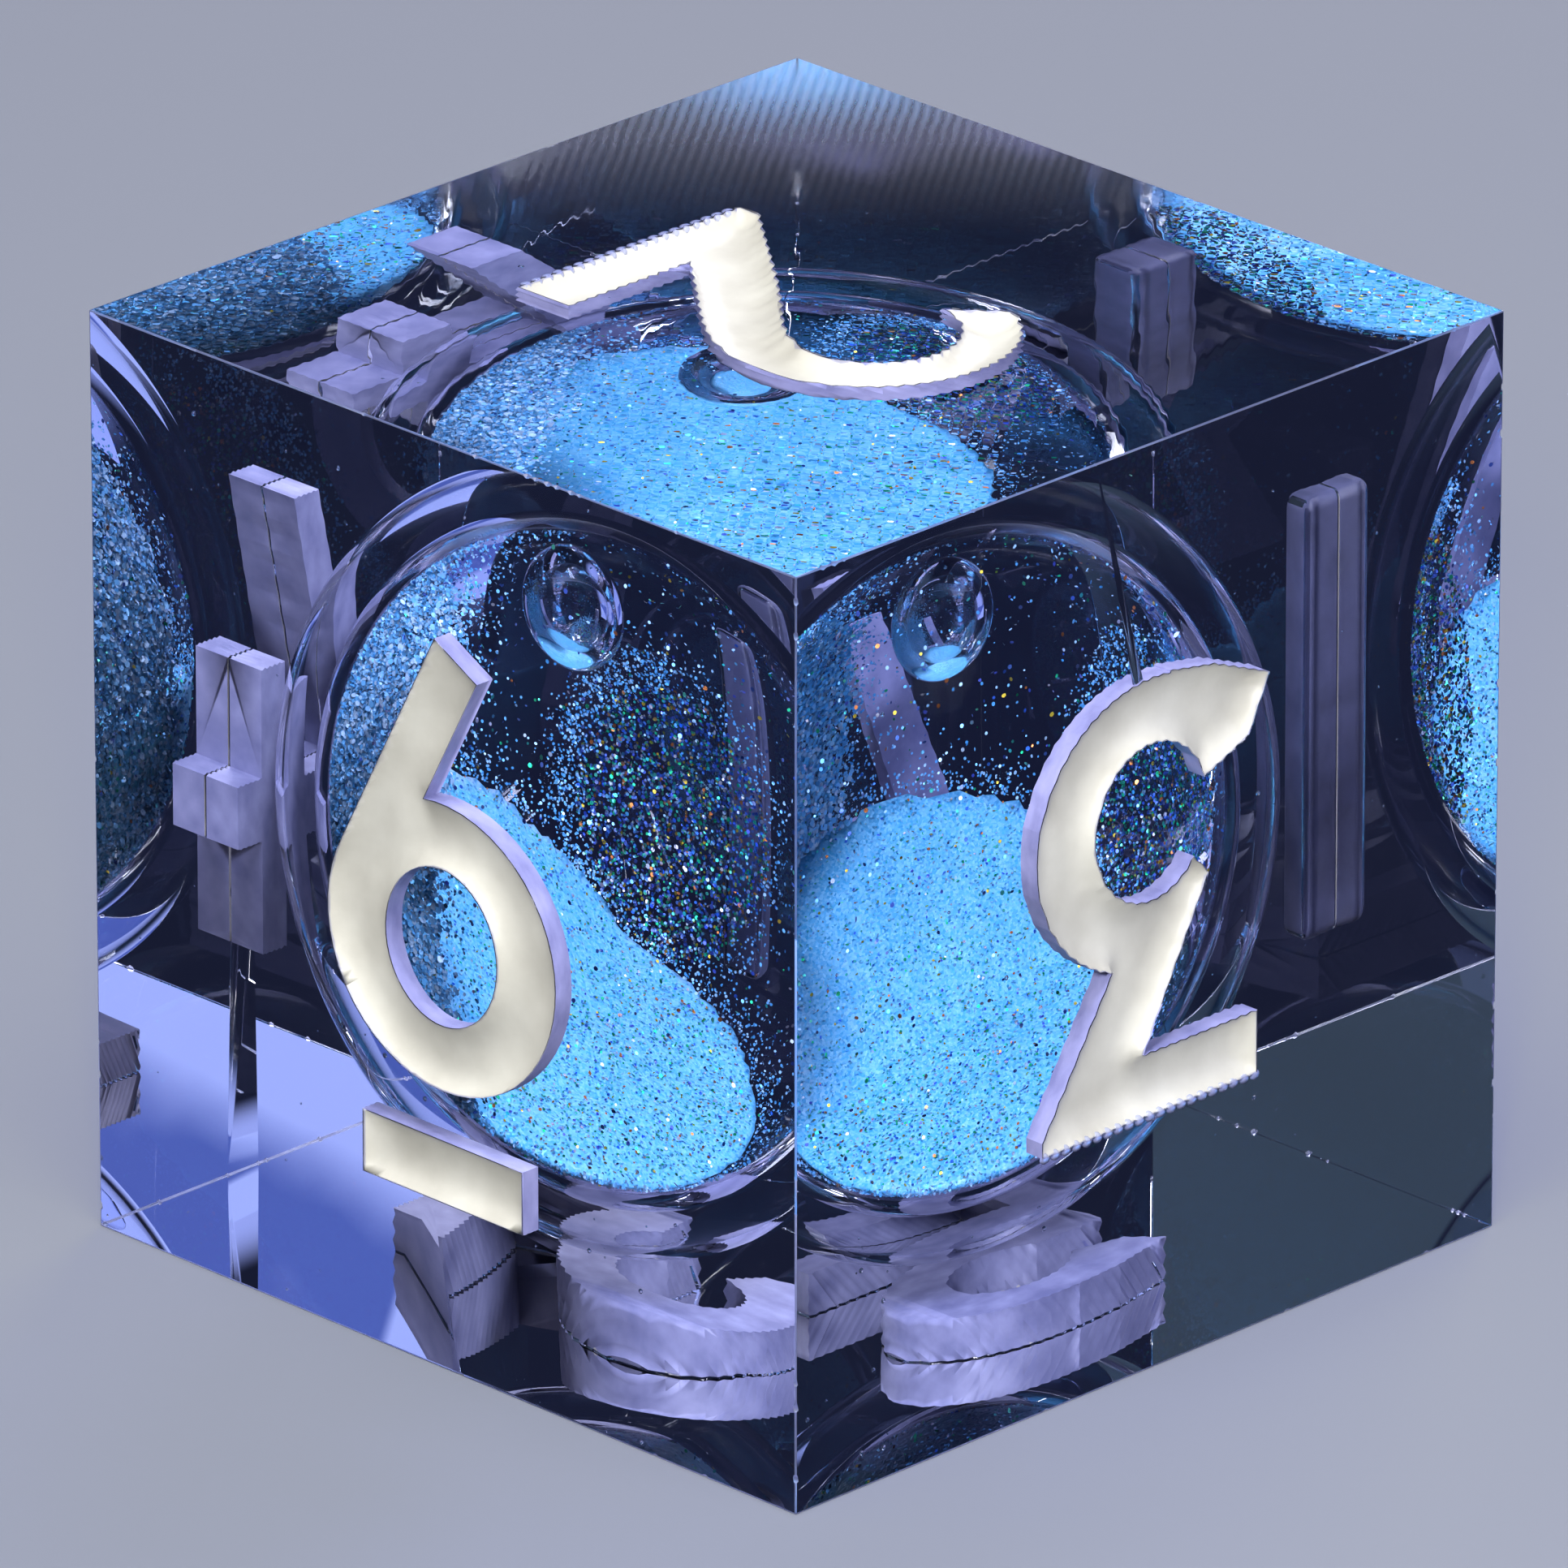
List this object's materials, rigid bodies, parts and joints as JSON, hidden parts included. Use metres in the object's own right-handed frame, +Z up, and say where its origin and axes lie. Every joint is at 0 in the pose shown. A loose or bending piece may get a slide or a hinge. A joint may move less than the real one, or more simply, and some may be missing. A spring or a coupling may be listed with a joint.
{
  "type": "polyhedral die",
  "caption": "Clear cubic gaming die with sunken painted numerals and a sealed liquid-filled ball inside, where powder, glitter and an air bubble move as it turns.",
  "frame": {"origin": "centre of the bottom face, which carries the 5", "axes": "+Z up through the face with the 2, -Y out of the face with the 6, +X out of the face with the 3"},
  "size_m": [0.016, 0.016, 0.016],
  "materials": {
    "clear_resin": "polished clear",
    "core_plastic": "smooth clear",
    "seal_resin": "smooth clear",
    "clear_liquid": "clear liquid",
    "blue_mica": "fine sparkling powder",
    "glitter": "holographic flakes",
    "numeral_paint": "satin ivory paint"
  },
  "bodies": {
    "casing": {"resin_block": "clear_resin", "core_shell": "core_plastic", "core_fill_plug": "seal_resin", "numeral_1": "numeral_paint", "numeral_2": "numeral_paint", "numeral_3": "numeral_paint", "numeral_4": "numeral_paint", "numeral_5": "numeral_paint", "numeral_6": "numeral_paint", "numeral_6_bar": "numeral_paint"},
    "drifting_glitter": {"glitter_on_wall": "glitter"},
    "core_contents": {"carrier_liquid": "clear_liquid", "powder_bed": "blue_mica", "glitter_on_bed": "glitter"}
  },
  "joints": [
    {"name": "contents_tip", "type": "hinge", "parent": "casing", "child": "drifting_glitter", "pos_m": [-0.0003, -0.0003, 0.0076], "axis": [1, 0, 0], "continuous": true},
    {"name": "contents_tilt", "type": "hinge", "parent": "drifting_glitter", "child": "core_contents", "pos_m": [-0.0003, -0.0003, 0.0076], "axis": [0, 1, 0], "continuous": true}
  ]
}
